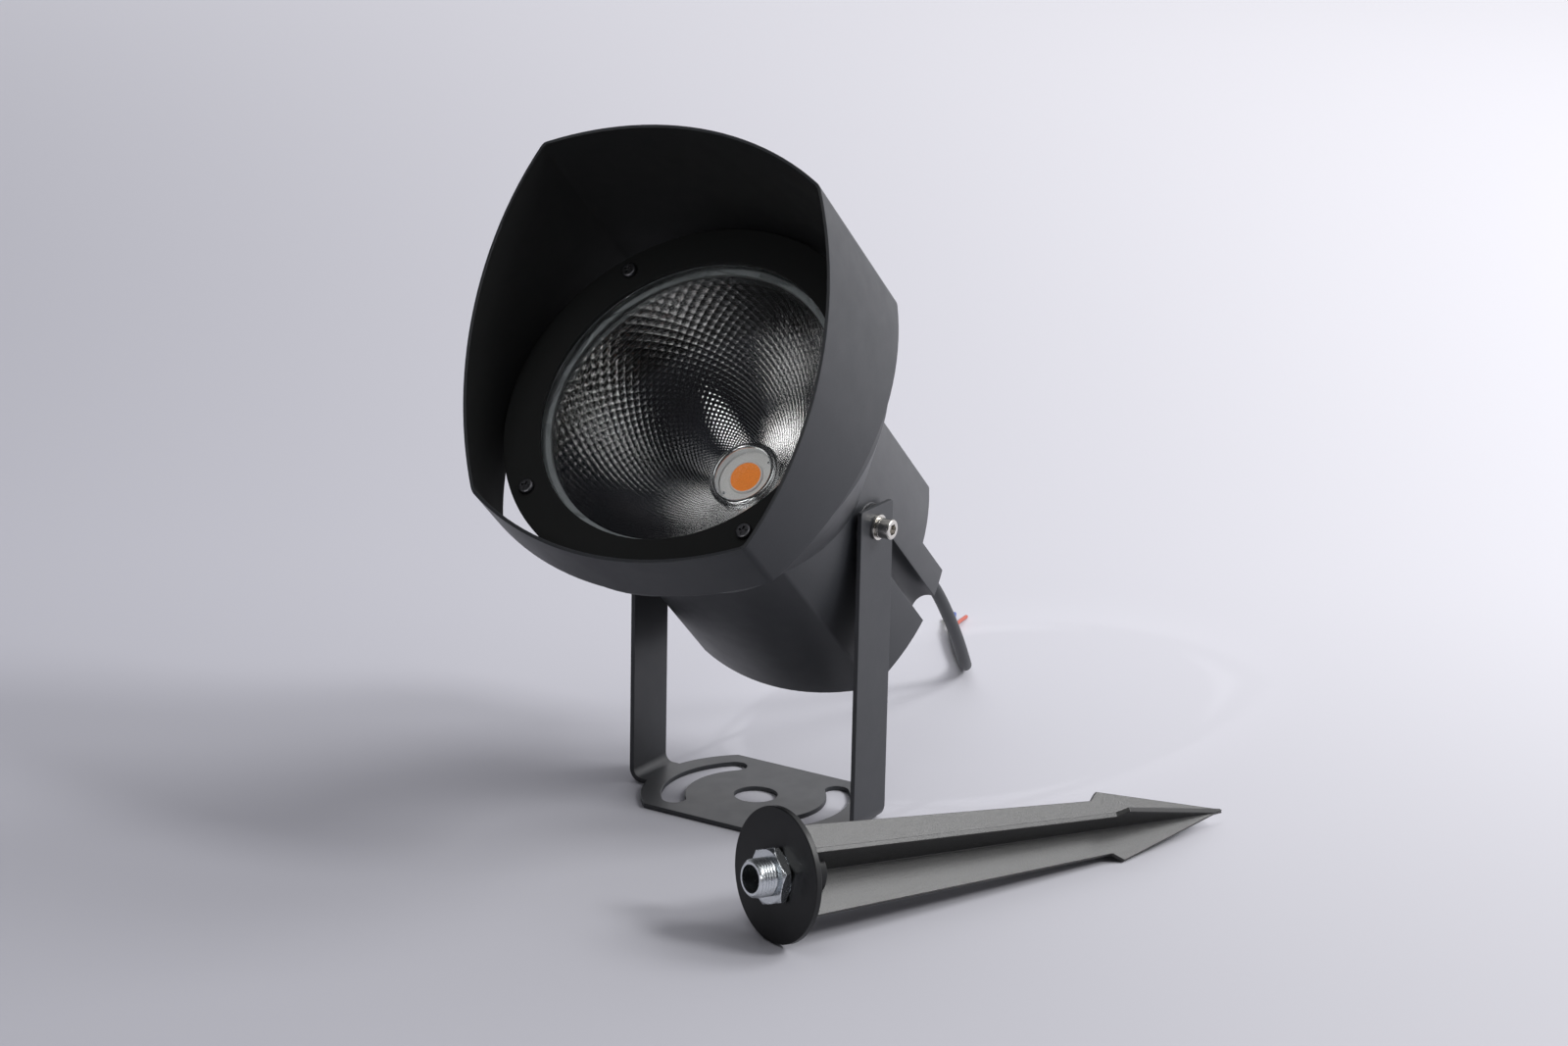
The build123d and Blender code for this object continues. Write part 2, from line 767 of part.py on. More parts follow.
with BuildPart() as pivot_bolts:
    discs(pivot_planes(head_seat), cap_head_d / 2, cap_head_height)
    chamfer(round_edges(pivot_bolts, pivot_planes(head_seat), cap_head_height), cap_head_chamfer)
    discs(pivot_planes(head_seat), pivot_d / 2, -(head_seat - pad_face + pivot_grip - turn_play))
    hexes(pivot_planes(head_seat + cap_head_height), cap_socket_across, -cap_socket_depth, mode=cut)
finish(pivot_bolts, "pivot_bolts")

# Ground spike: a cross of two plates behind a flange.
# Its axis slopes so that flange rim and lower barbs both touch the floor.
barb_half = fin_end + barb_hook
barb_reach = (barb_half + fin_thick / 2) / sqrt(2)
spike_slope = atan((spike_flange_r - barb_reach) / (barb_place - spike_flange_thick))
heading = radians(spike_heading)
ahead = Vector(cos(spike_slope) * sin(heading), cos(spike_slope) * cos(heading), -sin(spike_slope))
across = Vector(cos(heading), -sin(heading), 0)
above = across.cross(ahead)
flange_height = spike_flange_r * cos(spike_slope) + spike_flange_thick * sin(spike_slope)
spike = Plane(origin=(spike_x, spike_y, flange_height), x_dir=across + above, z_dir=ahead)
flange_back = spike.offset(spike_flange_thick)
nipple_rear = spike.offset(-nut_thick - nipple_free)

with BuildPart() as ground_spike:
    for fin_normal in (spike.y_dir, spike.x_dir):
        with BuildSketch(Plane(origin=spike.origin, x_dir=spike.z_dir, z_dir=fin_normal)) as fin:
            with BuildLine():
                Polyline(
                    (spike_flange_thick, -fin_root),
                    (barb_place - barb_step, -fin_end),
                    (barb_place, -barb_half),
                    (spike_length, 0),
                    (barb_place, barb_half),
                    (barb_place - barb_step, fin_end),
                    (spike_flange_thick, fin_root),
                    close=True,
                )
            make_face()
            fillet(fin.vertices().group_by(Axis.X)[1], barb_round)
            with Locations((spike_flange_thick + spike_hub_length / 2, 0)):
                Rectangle(spike_hub_length, 2 * spike_hub_r, mode=cut)
        extrude(amount=fin_thick / 2, both=True)
finish(ground_spike, "ground_spike")

# The engaged threads meet at their pitch radius, and the free thread stands at its outer one
pitch_r = (nipple_d - thread_depth) / 2
nipple_hole_r = pitch_r + thread_play
nipple_seat = spike_flange_thick + spike_hub_length / 2

with BuildPart() as spike_flange:
    discs([spike], spike_flange_r, spike_flange_thick)
    discs([flange_back], spike_hub_r, spike_hub_length)
    discs([spike], nipple_hole_r, nipple_seat, mode=cut)
finish(spike_flange, "spike_flange")

with BuildPart() as spike_nipple:
    nipple_length = nipple_free + nut_thick + nipple_seat
    discs([nipple_rear], pitch_r, nipple_length)
    discs([nipple_rear], nipple_d / 2, nipple_free - slip_play)
    discs([nipple_rear], nipple_d / 2 - nipple_wall, nipple_length, mode=cut)
finish(spike_nipple, "spike_nipple")

with BuildPart() as spike_lock_nut:
    corner_way = spike.x_dir.rotate(Axis((0, 0, 0), ahead), nut_turn)
    nut_rear = Plane(origin=spike.origin - ahead * nut_thick, x_dir=corner_way, z_dir=ahead)
    nut_corner_r = nut_across / sqrt(3)
    hexes([nut_rear], nut_across, nut_thick)
    # The corners of both faces are turned off to a shallow cone
    with BuildSketch(Plane(origin=nut_rear.origin, x_dir=spike.x_dir, z_dir=-spike.y_dir)) as cone:
        with BuildLine():
            Polyline(
                (0, 0),
                (nut_across / 2, 0),
                (nut_corner_r, nut_chamfer),
                (nut_corner_r, nut_thick - nut_chamfer),
                (nut_across / 2, nut_thick),
                (0, nut_thick),
                close=True,
            )
        make_face()
    revolve(axis=Axis(nut_rear.origin, ahead), mode=Mode.INTERSECT)
    discs([nut_rear], nipple_hole_r, nut_thick, mode=cut)
finish(spike_lock_nut, "spike_lock_nut")
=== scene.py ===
import json
import math

import bmesh
import bpy
from mathutils import Matrix, Vector


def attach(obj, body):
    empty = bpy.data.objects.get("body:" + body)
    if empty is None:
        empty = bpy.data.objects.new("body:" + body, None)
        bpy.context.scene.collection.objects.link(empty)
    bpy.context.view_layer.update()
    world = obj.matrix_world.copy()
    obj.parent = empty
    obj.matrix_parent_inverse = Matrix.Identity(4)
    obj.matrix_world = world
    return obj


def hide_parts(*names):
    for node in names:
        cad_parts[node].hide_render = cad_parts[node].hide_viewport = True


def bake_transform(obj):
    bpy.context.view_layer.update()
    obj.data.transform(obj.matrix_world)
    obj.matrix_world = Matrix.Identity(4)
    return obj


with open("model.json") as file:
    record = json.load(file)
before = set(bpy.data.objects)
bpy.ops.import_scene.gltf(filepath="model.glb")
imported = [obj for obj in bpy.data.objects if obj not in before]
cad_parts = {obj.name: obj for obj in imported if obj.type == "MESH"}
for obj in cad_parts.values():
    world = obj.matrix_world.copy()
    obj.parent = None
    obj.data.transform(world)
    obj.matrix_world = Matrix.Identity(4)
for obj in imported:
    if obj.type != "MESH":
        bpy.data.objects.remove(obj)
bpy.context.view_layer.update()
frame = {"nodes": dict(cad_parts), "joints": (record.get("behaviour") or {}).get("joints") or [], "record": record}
nodes = frame["nodes"]
record = frame["record"]
slotOf = {part["node"]: part["material_slot"] for part in record["subparts"]}
bodyOf = {node: body for body, group in record["behaviour"]["bodies"].items() for node in group}
mm = 0.001
weldGap = 1e-6  # metres, corners nearer to each other than this are one
print("frame loaded:", len(nodes), "solids")

# The lamp head's own directions: along the light, across it and up from it
lampHead = {"tilt": 43.7, "axisRise": 2.2}  # degrees over level, and mm over the hinge
tiltAngle = math.radians(lampHead["tilt"])
beam = Vector((0, -math.cos(tiltAngle), math.sin(tiltAngle)))
lift = Vector((0, math.sin(tiltAngle), math.cos(tiltAngle)))
sideways = Vector((1, 0, 0))
hinge = Vector(frame["joints"][0]["pos_m"])
lampCentre = hinge + lift * lampHead["axisRise"] * mm

# The camera stands where the photograph was taken from
cameraView = {
    "place": (1.06201, -1.67454, 0.75176),
    "azimuth": 32.05,
    "elevation": 16.97,
    "roll": 1.19,
    "lens": 95.615,
    "sensor": 36,
    "clip": (0.05, 50),
}


def makeCamera(view):
    data = bpy.data.cameras.new("camera")
    data.sensor_fit = "HORIZONTAL"
    data.sensor_width = view["sensor"]
    data.lens = view["lens"]
    data.clip_start, data.clip_end = view["clip"]
    camera = bpy.data.objects.new("camera", data)
    turn = Matrix.Rotation(math.radians(view["azimuth"]), 4, "Z")
    turn = turn @ Matrix.Rotation(math.radians(90 - view["elevation"]), 4, "X")
    turn = turn @ Matrix.Rotation(math.radians(view["roll"]), 4, "Z")
    camera.matrix_world = Matrix.Translation(view["place"]) @ turn
    bpy.context.scene.collection.objects.link(camera)
    bpy.context.scene.camera = camera


makeCamera(cameraView)
print("camera set")


# Small helpers for materials
def srgb(code):
    parts = [int(code[i:i + 2], 16) / 255 for i in (1, 3, 5)]
    return [p / 12.92 if p <= 0.04045 else ((p + 0.055) / 1.055) ** 2.4 for p in parts] + [1]


def addNode(tree, kind, settings=None, links=None):
    node = tree.nodes.new(kind)
    for name, value in (settings or {}).items():
        if name in node.inputs:
            node.inputs[name].default_value = value
        else:
            setattr(node, name, value)
    for name, source in (links or {}).items():
        tree.links.new(source, node.inputs[name])
    return node


def startMaterial(name, settings):
    material = bpy.data.materials.new(name)
    material.use_nodes = True
    tree = material.node_tree
    tree.nodes.clear()
    shader = addNode(tree, "ShaderNodeBsdfPrincipled", settings)
    addNode(tree, "ShaderNodeOutputMaterial", links={"Surface": shader.outputs["BSDF"]})
    place = addNode(tree, "ShaderNodeTexCoord").outputs["Object"]
    return material, tree, shader, place


def perMetre(sizeMm):
    return 1 / (sizeMm * mm)


# Polyester powder coat, baked: a fine orange-peel of melted grains, satin, hardly any gloss.
# The grains are about 0.3 mm and are drawn coarser so that they show.
def powderCoat(name, dark, light, rough, grainMm, peelMm, reliefMm, ior=1.5):
    spread = 0.06  # of the roughness, each way
    material, tree, shader, place = startMaterial(name, {"IOR": ior})
    grain = addNode(tree, "ShaderNodeTexNoise",
                    {"Scale": perMetre(grainMm), "Detail": 3, "Roughness": 0.6}, {"Vector": place})
    peel = addNode(tree, "ShaderNodeTexNoise",
                   {"Scale": perMetre(peelMm), "Detail": 2}, {"Vector": place})
    tone = addNode(tree, "ShaderNodeMix", {"data_type": "RGBA", "A": srgb(dark), "B": srgb(light)},
                   {"Factor": grain.outputs["Fac"]})
    tree.links.new(tone.outputs["Result"], shader.inputs["Base Color"])
    gloss = addNode(tree, "ShaderNodeMapRange", {"To Min": rough - spread, "To Max": rough + spread},
                    {"Value": peel.outputs["Fac"]})
    tree.links.new(gloss.outputs["Result"], shader.inputs["Roughness"])
    relief = addNode(tree, "ShaderNodeBump", {"Strength": 0.6, "Distance": reliefMm * mm},
                     {"Height": grain.outputs["Fac"]})
    tree.links.new(relief.outputs["Normal"], shader.inputs["Normal"])
    return material


# Plated steel: bright metal under a thin even deposit, with faint drawn marks
def platedSteel(name, colour, rough, markMm, reliefMm):
    smoothest, roughest = 0.7, 1.4  # shares of the roughness
    material, tree, shader, place = startMaterial(name, {"Base Color": srgb(colour), "Metallic": 1})
    marks = addNode(tree, "ShaderNodeTexNoise",
                    {"Scale": perMetre(markMm), "Detail": 4, "Roughness": 0.65}, {"Vector": place})
    gloss = addNode(tree, "ShaderNodeMapRange",
                    {"To Min": rough * smoothest, "To Max": rough * roughest},
                    {"Value": marks.outputs["Fac"]})
    tree.links.new(gloss.outputs["Result"], shader.inputs["Roughness"])
    relief = addNode(tree, "ShaderNodeBump", {"Strength": 0.3, "Distance": reliefMm * mm},
                     {"Height": marks.outputs["Fac"]})
    tree.links.new(relief.outputs["Normal"], shader.inputs["Normal"])
    return material


# Moulded polymers and rubbers: even colour with slight cloudiness and a fine spark-eroded texture
def mouldedPolymer(name, dark, light, rough, grainMm, reliefMm, ior=1.5):
    spread = 0.05  # of the roughness, each way
    cloudGrains = 14  # width of a cloud in grains
    material, tree, shader, place = startMaterial(name, {"IOR": ior})
    grain = addNode(tree, "ShaderNodeTexNoise",
                    {"Scale": perMetre(grainMm), "Detail": 3}, {"Vector": place})
    cloud = addNode(tree, "ShaderNodeTexNoise",
                    {"Scale": perMetre(grainMm * cloudGrains), "Detail": 2}, {"Vector": place})
    tone = addNode(tree, "ShaderNodeMix", {"data_type": "RGBA", "A": srgb(dark), "B": srgb(light)},
                   {"Factor": cloud.outputs["Fac"]})
    tree.links.new(tone.outputs["Result"], shader.inputs["Base Color"])
    gloss = addNode(tree, "ShaderNodeMapRange", {"To Min": rough - spread, "To Max": rough + spread},
                    {"Value": grain.outputs["Fac"]})
    tree.links.new(gloss.outputs["Result"], shader.inputs["Roughness"])
    relief = addNode(tree, "ShaderNodeBump", {"Strength": 0.4, "Distance": reliefMm * mm},
                     {"Height": grain.outputs["Fac"]})
    tree.links.new(relief.outputs["Normal"], shader.inputs["Normal"])
    return material


# Toughened soda-lime glass: clear, a reflection that grows towards grazing angles
def clearGlass(name):
    material, tree, shader, _ = startMaterial(
        name, {"Base Color": srgb("#ffffff"), "Metallic": 1, "Roughness": 0.03})
    clear = addNode(tree, "ShaderNodeBsdfTransparent", {"Color": srgb("#f7f7f7")})
    share = addNode(tree, "ShaderNodeFresnel", {"IOR": 1.5})
    both = addNode(tree, "ShaderNodeMixShader", links={"Fac": share.outputs["Fac"]})
    tree.links.new(clear.outputs["BSDF"], both.inputs[1])
    tree.links.new(shader.outputs["BSDF"], both.inputs[2])
    output = next(n for n in tree.nodes if n.type == "OUTPUT_MATERIAL")
    tree.links.new(both.outputs["Shader"], output.inputs["Surface"])
    return material


# Silicone filled with phosphor: orange, soft, slightly translucent, with a faint painted glow that lifts it
# brighter than the light reaching it
def phosphorGel(name):
    grainMm = 1.2
    material, tree, shader, place = startMaterial(
        name, {"Roughness": 0.35, "IOR": 1.41, "Subsurface Weight": 0.2, "Subsurface Scale": 0.001,
               "Emission Color": srgb("#ff8a3c"), "Emission Strength": 0.2})
    grain = addNode(tree, "ShaderNodeTexNoise",
                    {"Scale": perMetre(grainMm), "Detail": 3}, {"Vector": place})
    tone = addNode(tree, "ShaderNodeMix",
                   {"data_type": "RGBA", "A": srgb("#f28a34"), "B": srgb("#fb9a44")},
                   {"Factor": grain.outputs["Fac"]})
    tree.links.new(tone.outputs["Result"], shader.inputs["Base Color"])
    return material


# Coats: colours, roughness, grain, peel and relief in mm, IOR. The others have no peel.
finishes = {
    "steel_coat": powderCoat("powderCoatOnSteel", "#27292c", "#303236", 0.42, 1.1, 9, 0.04, 1.56),
    "cast_coat": powderCoat("powderCoatOnCasting", "#26282b", "#303236", 0.42, 1.1, 11, 0.04, 1.66),
    "sheet_coat": powderCoat("powderCoatOnSheet", "#232528", "#2c2e32", 0.42, 1.0, 12, 0.035, 1.48),
    "spike_coat": powderCoat("satinCoatOnSpike", "#0c0d0d", "#2f2f2e", 0.36, 0.9, 1.3, 0.16, 1.52),
    "bright_steel": platedSteel("nickelPlatedSteel", "#cfccc6", 0.16, 0.8, 0.01),
    "black_steel": platedSteel("blackZincSteel", "#6a6a6d", 0.34, 0.6, 0.02),
    "zinc": platedSteel("zincPlatedSteel", "#dde1e4", 0.24, 2.5, 0.006),
    "clear_glass": clearGlass("toughenedGlass"),
    "grey_silicone": mouldedPolymer("greySilicone", "#8a8f91", "#949a9c", 0.55, 0.5, 0.02, 1.41),
    "bright_bowl": platedSteel("metallisedBowl", "#dcdcdc", 0.05, 3.0, 0.0005),
    "chrome_collar": platedSteel("chromePlatedCollar", "#e4e6e7", 0.12, 4.0, 0.002),
    "cob_white": mouldedPolymer("whiteSolderMask", "#e2e3e2", "#eaeae8", 0.4, 0.8, 0.01),
    "phosphor": phosphorGel("phosphorSilicone"),
    "black_polymer": mouldedPolymer("blackNylon", "#1b1c1e", "#232427", 0.45, 0.6, 0.02, 1.53),
    "pale_polymer": mouldedPolymer("paleDriverCase", "#cfcfca", "#d8d8d3", 0.45, 0.6, 0.02, 1.53),
    "cord_rubber": mouldedPolymer("cordRubber", "#26282b", "#303336", 0.5, 0.7, 0.03, 1.52),
    "core_brown": mouldedPolymer("liveInsulation", "#b84a34", "#c75c44", 0.4, 0.5, 0.01),
    "core_blue": mouldedPolymer("neutralInsulation", "#2a4c9c", "#3458aa", 0.4, 0.5, 0.01),
    "core_green": mouldedPolymer("earthInsulation", "#5f8a2a", "#c9b62c", 0.4, 0.5, 0.01),
    "plain_washer": mouldedPolymer("blackNylonWasher", "#1d1e20", "#26272a", 0.5, 0.6, 0.02, 1.53),
}
print("finishes:", len(finishes))


def meshFrom(bm, name):
    mesh = bpy.data.meshes.new(name)
    bm.to_mesh(mesh)
    bm.free()
    return mesh


def addPiece(name, mesh, finish):
    piece = bpy.data.objects.new(name, mesh)
    bpy.context.scene.collection.objects.link(piece)
    piece.data.materials.clear()
    piece.data.materials.append(finish)
    return piece


def standFor(piece, node):
    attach(piece, bodyOf[node])
    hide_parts(node)


# Supply cord: leaves the gland straight, droops to the floor and lies there in a slack line
supplyCord = {
    "diameter": 6.8,
    "straight": 26,
    "exit": (25.07, 83.9, 129.3),
    "route": [(22.5, 138, 80), (15.5, 166.5, 54), (7.5, 192, 31), (-2, 216, 11), (-14, 237, 3.4),
              (-33.5, 261, 3.4), (-52, 288.5, 3.4)],
    "sides": 10,  # curve bevel resolution, a ring has 2 x (sides + 2) corners
    "crease": 40,
    "bendEnd": (7.5, 192, 31),  # the bend's last point on the route
}


def splineLine(name, points):
    curve = bpy.data.curves.new(name, "CURVE")
    curve.dimensions = "3D"
    spline = curve.splines.new("NURBS")
    spline.points.add(len(points) - 1)
    for place, point in zip(points, spline.points):
        point.co = (*place, 1)
    spline.order_u = 3
    spline.use_endpoint_u = True
    spline.resolution_u = 16
    return bpy.data.objects.new(name, curve)


def linePoints(line):
    mesh = bpy.data.meshes.new_from_object(line)
    points = [v.co.copy() for v in mesh.vertices]
    bpy.data.meshes.remove(mesh)
    return points


def tubeAlong(line, diameter, sides):
    line.data.bevel_depth = diameter / 2
    line.data.bevel_resolution = sides
    line.data.use_fill_caps = True
    mesh = bpy.data.meshes.new_from_object(line)
    line.data.bevel_depth = 0
    bm = bmesh.new()
    bm.from_mesh(mesh)
    bmesh.ops.remove_doubles(bm, verts=bm.verts, dist=weldGap)
    bmesh.ops.recalc_face_normals(bm, faces=bm.faces)
    bm.to_mesh(mesh)
    bm.free()
    return mesh


def smoothMesh(mesh, creaseDeg):
    mesh.shade_smooth()
    mesh.set_sharp_from_angle(angle=math.radians(creaseDeg))


cordExit = Vector(supplyCord["exit"]) * mm
cordPoints = [cordExit, cordExit - beam * supplyCord["straight"] * mm]
cordPoints += [Vector(p) * mm for p in supplyCord["route"]]
cordLine = splineLine("supplyCordLine", cordPoints)
cordPath = linePoints(cordLine)
cordMesh = tubeAlong(cordLine, supplyCord["diameter"] * mm, supplyCord["sides"])
smoothMesh(cordMesh, supplyCord["crease"])
cord = addPiece("supplyCord", cordMesh, finishes["cord_rubber"])
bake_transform(cord)
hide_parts("supply_cord")

# Three bare-ended cores fan out of the cut sheath
cordCores = {
    "diameter": 2.2,
    "sides": 6,
    "crease": 40,
    "straightShare": 0.12,
    "live_core": (1.4, 0.9, 9.6, 27.2),  # across and up in the sheath, spread and reach of the end
    "neutral_core": (0, -1.6, 3.2, 32.4),
    "earth_core": (-1.4, 0.9, -3, 24),
}


def makeCore(node):
    across, up, spread, reach = cordCores[node]
    onward = (cordPoints[-1] - cordPoints[-2]).normalized()
    over = onward.cross(Vector((0, 0, 1))).normalized()
    start = cordPoints[-1] + over * across * mm + Vector((0, 0, up)) * mm
    middle = start + onward * reach * cordCores["straightShare"] * mm
    end = cordPoints[-1] + onward * reach * mm + over * spread * mm
    end.z = cordCores["diameter"] / 2 * mm
    line = splineLine(node + "Line", [start, middle, end])
    mesh = tubeAlong(line, cordCores["diameter"] * mm, cordCores["sides"])
    smoothMesh(mesh, cordCores["crease"])
    core = addPiece(node.replace("_c", "C"), mesh, finishes[slotOf[node]])
    standFor(core, node)
    return core


cores = [makeCore(node) for node in ("live_core", "neutral_core", "earth_core")]
print("cores:", len(cores))


# Rounded copies of the solids: the coat and the dies leave no knife edges
def roundedCopy(node, name, edgeMm, creaseDeg=28, flatDeg=0.5, segments=2, lip=None):
    mesh = nodes[node].data.copy()
    bm = bmesh.new()
    bm.from_mesh(mesh)
    bmesh.ops.remove_doubles(bm, verts=bm.verts, dist=weldGap)
    bmesh.ops.dissolve_limit(bm, angle_limit=math.radians(flatDeg), verts=bm.verts, edges=bm.edges)
    crease = math.radians(creaseDeg)
    sharp = [e for e in bm.edges if e.is_manifold and e.calc_face_angle() > crease]
    if lip:
        rounded = [e for e in sharp if lip["picks"](e)]
        sharp = [e for e in sharp if not lip["picks"](e)]
        bmesh.ops.bevel(bm, geom=rounded, offset=lip["width"] * mm, offset_type="OFFSET", affect="EDGES",
                        segments=lip["steps"], profile=0.5, material=-1, clamp_overlap=False)
    bmesh.ops.bevel(bm, geom=sharp, offset=edgeMm * mm, offset_type="OFFSET", affect="EDGES",
                    segments=segments, profile=0.5, material=-1, clamp_overlap=False)
    bm.to_mesh(mesh)
    bm.free()
    smoothMesh(mesh, creaseDeg)
    piece = addPiece(name, mesh, finishes[slotOf[node]])
    normals = piece.modifiers.new("even shading", "WEIGHTED_NORMAL")
    normals.keep_sharp = True
    standFor(piece, node)
    return piece


# Reflector bowl: pressed in a net of pillowed diamonds that shrink with the radius
bowl = {
    "neck": (17.9, 25.3),  # radius and place along the light
    "waist": (50.0, 52.0),
    "mouth": (73.8, 90.1),
    "rim": 78.0,
    "wall": 1.2,
    "around": 72,  # diamonds in a ring
    "pillow": 0.13,  # rise of a diamond's middle over its half size
    "backRows": 8,
}


def arcThrough(a, b, c):
    square = [Vector(p).length_squared for p in (a, b, c)]
    turn = 2 * (a[0] * (b[1] - c[1]) + b[0] * (c[1] - a[1]) + c[0] * (a[1] - b[1]))
    x = (square[0] * (b[1] - c[1]) + square[1] * (c[1] - a[1]) + square[2] * (a[1] - b[1])) / turn
    y = (square[0] * (c[0] - b[0]) + square[1] * (a[0] - c[0]) + square[2] * (b[0] - a[0])) / turn
    centre = Vector((x, y))
    angles = [math.atan2(p[1] - y, p[0] - x) for p in (a, c)]
    return centre, (Vector(a) - centre).length, angles[0], angles[1]


def onArc(centre, radius, angle):
    return centre + Vector((math.cos(angle), math.sin(angle))) * radius


def diamondRows(look, centre, radius, first, last):
    angles = [first]
    way = math.copysign(1, last - first)
    while (last - angles[-1]) * way > 0:
        across = onArc(centre, radius, angles[-1]).x
        angles.append(angles[-1] + way * 2 * math.pi * across / look["around"] / radius)
    share = (last - first) / (angles[-1] - first)
    return [first + (a - first) * share for a in angles]


def lampPoint(radius, place):
    return lampCentre + (sideways * radius + beam * place) * mm


def spinProfile(bm, profile, steps):
    verts = [bm.verts.new(lampPoint(*p)) for p in profile]
    edges = [bm.edges.new((a, b)) for a, b in zip(verts, verts[1:] + verts[:1])]
    bmesh.ops.spin(bm, geom=verts + edges, cent=lampCentre, axis=beam, angle=2 * math.pi, steps=steps,
                   use_merge=True)
    bmesh.ops.remove_doubles(bm, verts=bm.verts, dist=weldGap)
    bmesh.ops.recalc_face_normals(bm, faces=bm.faces)


def makeReflector(look):
    centre, radius, first, last = arcThrough(look["neck"], look["waist"], look["mouth"])
    rows = [onArc(centre, radius, a) for a in diamondRows(look, centre, radius, first, last)]
    count = look["backRows"]
    backAngles = [last + (first - last) * i / count for i in range(count + 1)]
    back = [onArc(centre, radius + look["wall"], a) for a in backAngles]
    mouth = look["mouth"][1]
    rim = [Vector((look["rim"], mouth)), Vector((look["rim"], mouth - look["wall"]))]
    bm = bmesh.new()
    spinProfile(bm, rows + rim + back, look["around"])

    def onFace(vert):
        arm = vert.co - lampCentre
        along = arm.dot(beam)
        out = (arm - beam * along).length
        return abs((Vector((out, along)) / mm - centre).length - radius) < look["wall"] / 4

    pressed = [f for f in bm.faces if all(onFace(v) for v in f.verts)]
    inside = set(pressed)
    grid = [e for e in bm.edges if all(f in inside for f in e.link_faces)]
    bmesh.ops.poke(bm, faces=pressed)
    bmesh.ops.dissolve_edges(bm, edges=grid)
    diamonds = [f for f in bm.faces if all(onFace(v) for v in f.verts) or len(f.verts) == 3]
    outline = {e for f in diamonds for e in f.edges}
    bmesh.ops.poke(bm, faces=diamonds, offset=look["pillow"], use_relative_offset=True)
    for face in bm.faces:
        face.smooth = True
    for edge in outline:
        edge.smooth = False
    mesh = meshFrom(bm, "facetedReflector")
    piece = addPiece("facetedReflector", mesh, finishes["bright_bowl"])
    standFor(piece, "reflector")
    print("reflector:", len(rows) - 1, "rows of diamonds,", len(mesh.polygons), "faces")


makeReflector(bowl)

# On the LED plate: the raised dam that holds the phosphor, and a solder joint at each pole
emitter = {
    "dam": [(8.0, 21.5), (9.1, 21.5), (9.1, 22.3), (8.85, 22.8), (8.5, 23.0), (8.15, 22.9), (8.0, 22.6)],
    "damSteps": 64,
    "damCrease": 50,
    "joints": [(8.4, 10.4), (-8.4, -10.4)],  # sideways and up
    "jointPlace": 21.6,
    "jointRadius": 0.9,
    "jointRise": 0.5,  # of its radius
    "jointSides": 16,
    "jointRows": 10,
}


def makeEmitter(look):
    bm = bmesh.new()
    spinProfile(bm, look["dam"], look["damSteps"])
    mesh = meshFrom(bm, "phosphorDam")
    smoothMesh(mesh, look["damCrease"])
    dam = addPiece("phosphorDam", mesh, finishes["cob_white"])
    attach(dam, bodyOf["cob_plate"])
    bm = bmesh.new()
    for across, up in look["joints"]:
        ball = bmesh.ops.create_uvsphere(bm, u_segments=look["jointSides"], v_segments=look["jointRows"],
                                         radius=look["jointRadius"] * mm)["verts"]
        squeeze = Matrix.Scale(look["jointRise"], 4, (0, 0, 1))
        turn = beam.to_track_quat("Z", "Y").to_matrix().to_4x4()
        place = lampPoint(across, look["jointPlace"]) + lift * up * mm
        bmesh.ops.transform(bm, matrix=Matrix.Translation(place) @ turn @ squeeze, verts=ball)
    mesh = meshFrom(bm, "solderJoints")
    mesh.shade_smooth()
    joints = addPiece("solderJoints", mesh, finishes["zinc"])
    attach(joints, bodyOf["cob_plate"])


makeEmitter(emitter)

# Threaded nipple: a rolled helix, its lead chamfered, with a smooth bore
nipple = {
    "outer": 9.3,
    "depth": 0.9,
    "pitch": 1.5,
    "bore": 6.8,
    "free": 8.7,  # stands clear of the nut
    "length": 26.4,
    "lead": 0.9,
    "steps": 40,  # of one turn
    "spareTurns": 3,  # cut off at the ends
    "cutSlack": 1e-7,  # metres
    "crease": 30,
}


